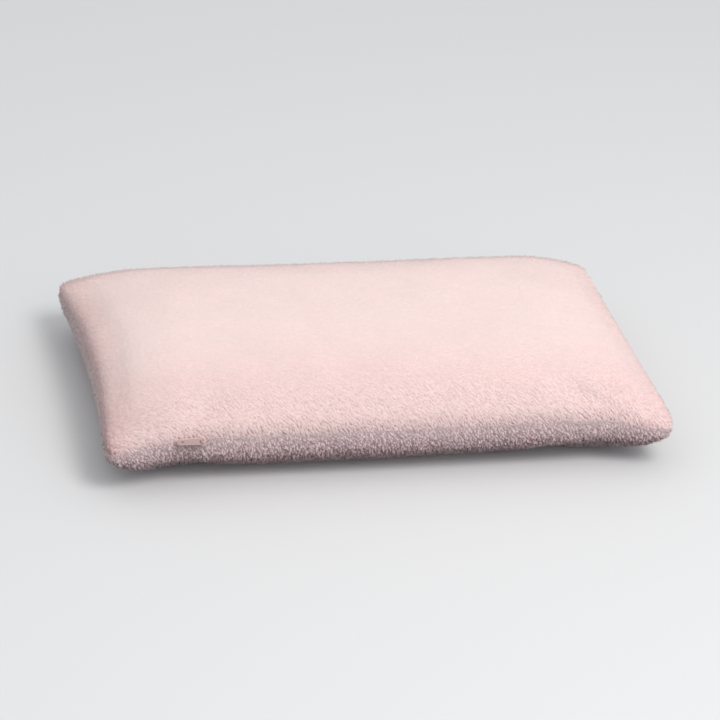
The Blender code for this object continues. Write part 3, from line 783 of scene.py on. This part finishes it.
# the cast pieces lose their knife edges
for key, width in (("zip_slider_body", 0.0003), ("zip_pull_tab", 0.0003), ("zip_top_stop_front", 0.00015),
                   ("zip_top_stop_back", 0.00015), ("zip_bottom_stop", 0.00015)):
    m = NODES[key].modifiers.new("edges", "BEVEL")
    m.width, m.segments, m.limit_method, m.angle_limit = width, 3, "ANGLE", math.radians(35)
    m.harden_normals = True

COUNT = 65000
backing(1, plush_front, "plush_front", "cover_front_panel")
backing(-1, plush_back, "plush_back", "cover_back_panel")
for letter, seed in (("a", 11), ("b", 12), ("c", 13), ("d", 19)):
    pile(1, COUNT, plush_front, f"pile_front_{letter}", seed)
    pile(-1, COUNT, plush_back, f"pile_back_{letter}", seed + 20)


# ---------------------------------------------------------------- stage, light and camera
def stage_material(name, colour, roughness):
    mat = bpy.data.materials.new(name)
    mat.use_nodes = True
    b = mat.node_tree.nodes["Principled BSDF"]
    b.inputs["Base Color"].default_value = (*colour, 1)
    b.inputs["Roughness"].default_value = roughness
    return mat


bpy.ops.mesh.primitive_plane_add(size=40.0, location=(0, 0, 0))
floor = bpy.context.object
floor.name = "floor"
paper = stage_material("floor_paper", (0.78, 0.785, 0.79), 0.9)
nt = paper.node_tree
path = nt.nodes.new("ShaderNodeLightPath")
tone = nt.nodes.new("ShaderNodeMixRGB")          # pale to look at, but throws little light back up
tone.inputs["Color1"].default_value = (0.30, 0.30, 0.31, 1)
tone.inputs["Color2"].default_value = (0.78, 0.785, 0.79, 1)
nt.links.new(path.outputs["Is Camera Ray"], tone.inputs["Fac"])
nt.links.new(tone.outputs["Color"], nt.nodes["Principled BSDF"].inputs["Base Color"])
floor.data.materials.append(paper)

world = bpy.data.worlds.new("studio")
bpy.context.scene.world = world
world.use_nodes = True
wt = world.node_tree
where = wt.nodes.new("ShaderNodeTexCoord")
split = wt.nodes.new("ShaderNodeSeparateXYZ")
sky = wt.nodes.new("ShaderNodeValToRGB")
sky.color_ramp.elements[0].position, sky.color_ramp.elements[0].color = 0.0, (0.50, 0.51, 0.53, 1)
sky.color_ramp.elements[1].position, sky.color_ramp.elements[1].color = 0.85, (0.98, 0.99, 1.0, 1)
wt.links.new(where.outputs["Generated"], split.inputs[0])
wt.links.new(split.outputs["Z"], sky.inputs["Fac"])
wt.nodes["Background"].inputs["Strength"].default_value = 0.75
seen = wt.nodes.new("ShaderNodeMixRGB")          # an even pale backdrop where the camera looks past the floor
haze = wt.nodes.new("ShaderNodeValToRGB")
haze.color_ramp.elements[0].position, haze.color_ramp.elements[0].color = 0.0, (0.672, 0.682, 0.695, 1)
haze.color_ramp.elements[1].position, haze.color_ramp.elements[1].color = 0.30, (0.97, 0.98, 0.99, 1)
wt.links.new(split.outputs["Z"], haze.inputs["Fac"])
wt.links.new(haze.outputs["Color"], seen.inputs["Color2"])
ray = wt.nodes.new("ShaderNodeLightPath")
wt.links.new(ray.outputs["Is Camera Ray"], seen.inputs["Fac"])
wt.links.new(sky.outputs["Color"], seen.inputs["Color1"])
wt.links.new(seen.outputs["Color"], wt.nodes["Background"].inputs["Color"])


def area(name, location, target, size, energy, colour=(1, 1, 1)):
    light = bpy.data.lights.new(name, "AREA")
    light.shape, light.size, light.energy, light.color = "SQUARE", size, energy, colour
    obj = bpy.data.objects.new(name, light)
    bpy.context.scene.collection.objects.link(obj)
    obj.location = location
    obj.rotation_mode = "QUATERNION"
    obj.rotation_quaternion = (Vector(target) - Vector(location)).to_track_quat("-Z", "Y")
    return obj


area("key", (0.7, -1.25, 2.2), (0, 0, 0.05), 1.1, 27.0, (1.0, 0.985, 0.965))
area("fill", (1.0, -2.4, 1.6), (0, 0, 0.05), 1.6, 9.0, (0.96, 0.97, 1.0))

view = bpy.context.scene.view_settings
view.view_transform = "Standard"
view.look = "None"
view.exposure = 0.0

AZ, EL, ROLL, DIST = math.radians(-13.61), math.radians(26.46), math.radians(4.46), 2.849
FOCAL_PX, CENTRE_PX = 2478.0, (415.1, 524.0)     # of a 720 px frame
back = Vector((math.sin(AZ) * math.cos(EL), -math.cos(AZ) * math.cos(EL), math.sin(EL)))
right = Vector((math.cos(AZ), math.sin(AZ), 0))
up = right.cross(-back)
right2 = math.cos(ROLL) * right + math.sin(ROLL) * up
up2 = -math.sin(ROLL) * right + math.cos(ROLL) * up
# camera place: the frame's origin shows at CENTRE_PX, DIST away along the axis
eye = back * DIST - right2 * ((CENTRE_PX[0] - 360) / FOCAL_PX * DIST) + up2 * ((CENTRE_PX[1] - 360) / FOCAL_PX * DIST)
# from the same place, turned to the pillow's middle and closer in
back = (eye - Vector((0.0, -0.004, 0.040))).normalized()
right2 = (right2 - back * right2.dot(back)).normalized()
up2 = back.cross(right2)
cam_data = bpy.data.cameras.new("camera")
cam = bpy.data.objects.new("camera", cam_data)
bpy.context.scene.collection.objects.link(cam)
cam.matrix_world = Matrix((
    (right2.x, up2.x, back.x, eye.x), (right2.y, up2.y, back.y, eye.y), (right2.z, up2.z, back.z, eye.z), (0, 0, 0, 1)))
cam_data.sensor_width = 36.0
cam_data.lens = FOCAL_PX * 1.28 / 720 * 36.0
cam_data.clip_start, cam_data.clip_end = 0.1, 30
bpy.context.scene.camera = cam
